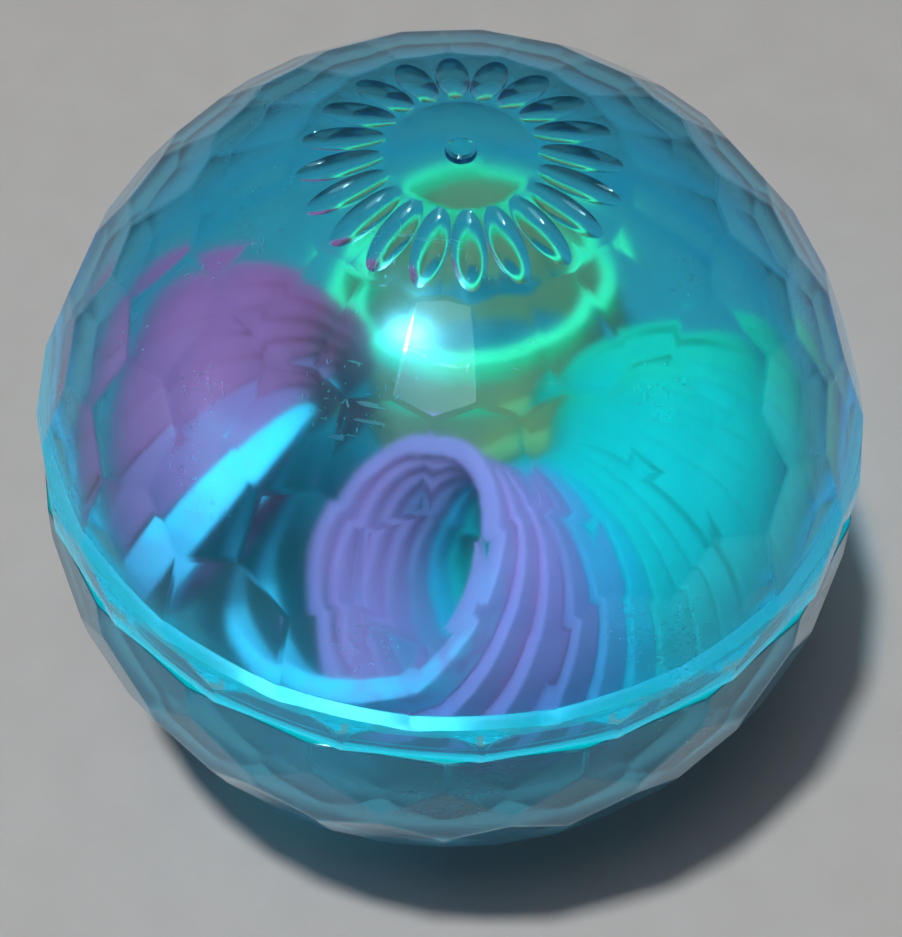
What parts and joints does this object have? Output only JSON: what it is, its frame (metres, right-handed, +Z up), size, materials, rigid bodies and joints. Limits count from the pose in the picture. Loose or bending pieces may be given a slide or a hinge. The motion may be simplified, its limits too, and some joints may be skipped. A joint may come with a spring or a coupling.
{
  "type": "toy ball",
  "caption": "Clear faceted capsule ball in two slip-on halves, standing on a flat polar disc, with a rainbow plastic coil spring curled round inside.",
  "frame": {"origin": "middle of the flat disc that the ball stands on", "axes": "+Z up along the ball's polar axis, -Y to the front, +X to the right"},
  "size_m": [0.0744, 0.0744, 0.0741],
  "materials": {
    "clear_shell": "clear, blue-tinted",
    "rainbow_strip": "translucent, graded through the rainbow"
  },
  "bodies": {
    "lower_half": {"lower_shell": "clear_shell"},
    "upper_half": {"upper_shell": "clear_shell"},
    "spring": {"rainbow_spring": "rainbow_strip"}
  },
  "joints": [
    {"name": "upper_half_lift", "type": "slide", "parent": "lower_half", "child": "upper_half", "axis": [0, 0, 1], "range_m": [0, 0.05]},
    {"name": "spring_turn", "type": "hinge", "parent": "lower_half", "child": "spring", "pos_m": [0, 0, 0.0367], "axis": [0, 0, 1], "continuous": true}
  ]
}
